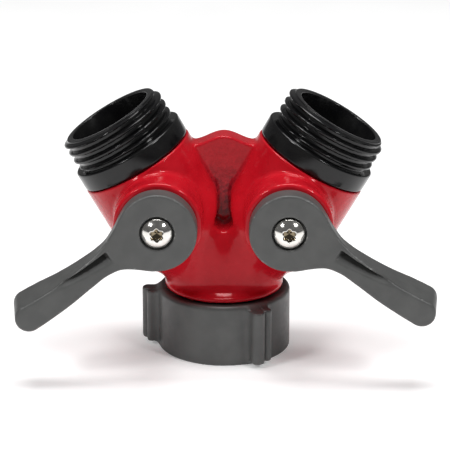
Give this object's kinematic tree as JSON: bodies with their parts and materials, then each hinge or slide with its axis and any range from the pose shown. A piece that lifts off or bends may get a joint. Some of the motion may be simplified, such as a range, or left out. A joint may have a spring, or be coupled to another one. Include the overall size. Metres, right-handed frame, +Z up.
{
  "type": "hose splitter",
  "caption": "Cast red Y splitter for garden hoses: swivel nut inlet, leaning threaded outlets and a quarter-turn lever ball valve in each arm.",
  "frame": {"origin": "on the resting plane under the swivel nut, at the centre of the whole part's footprint; the inlet axis stands 6.2 mm behind it, along +Y", "axes": "+Z up along the inlet axis, +X from the left arm to the right arm, levers on the -Y side"},
  "size_m": [0.1022, 0.0476, 0.0651],
  "materials": {
    "cast_red": "glossy red enamel over a die-cast body",
    "black_plastic": "glossy moulded black",
    "grey_plastic": "satin moulded dark grey",
    "polished_steel": "polished stainless steel",
    "brass": "turned brass",
    "white_seat": "smooth white fluoropolymer",
    "black_rubber": "soft black rubber"
  },
  "bodies": {
    "casting": {"body": "cast_red", "inlet_tailpiece": "brass", "tailpiece_o_ring": "black_rubber", "left_outlet": "black_plastic", "left_outlet_o_ring": "black_rubber", "left_inner_seat": "white_seat", "left_outer_seat": "white_seat", "left_thrust_washer": "white_seat", "left_stem_o_ring": "black_rubber", "right_outlet": "black_plastic", "right_outlet_o_ring": "black_rubber", "right_inner_seat": "white_seat", "right_outer_seat": "white_seat", "right_thrust_washer": "white_seat", "right_stem_o_ring": "black_rubber"},
    "nut": {"swivel_nut": "grey_plastic", "inlet_washer": "black_rubber"},
    "left_valve": {"left_ball": "polished_steel", "left_stem": "brass", "left_lever": "grey_plastic", "left_lever_screw": "polished_steel"},
    "right_valve": {"right_ball": "polished_steel", "right_stem": "brass", "right_lever": "grey_plastic", "right_lever_screw": "polished_steel"}
  },
  "joints": [
    {"name": "nut_swivel", "type": "hinge", "parent": "casting", "child": "nut", "pos_m": [0, 0.0062, 0], "axis": [0, 0, 1], "continuous": true},
    {"name": "left_valve_turn", "type": "hinge", "parent": "casting", "child": "left_valve", "pos_m": [-0.0156, 0.0062, 0.03782], "axis": [0, 1, 0], "range_deg": [0, 93]},
    {"name": "right_valve_turn", "type": "hinge", "parent": "casting", "child": "right_valve", "pos_m": [0.0156, 0.0062, 0.03782], "axis": [0, -1, 0], "range_deg": [0, 90]}
  ]
}
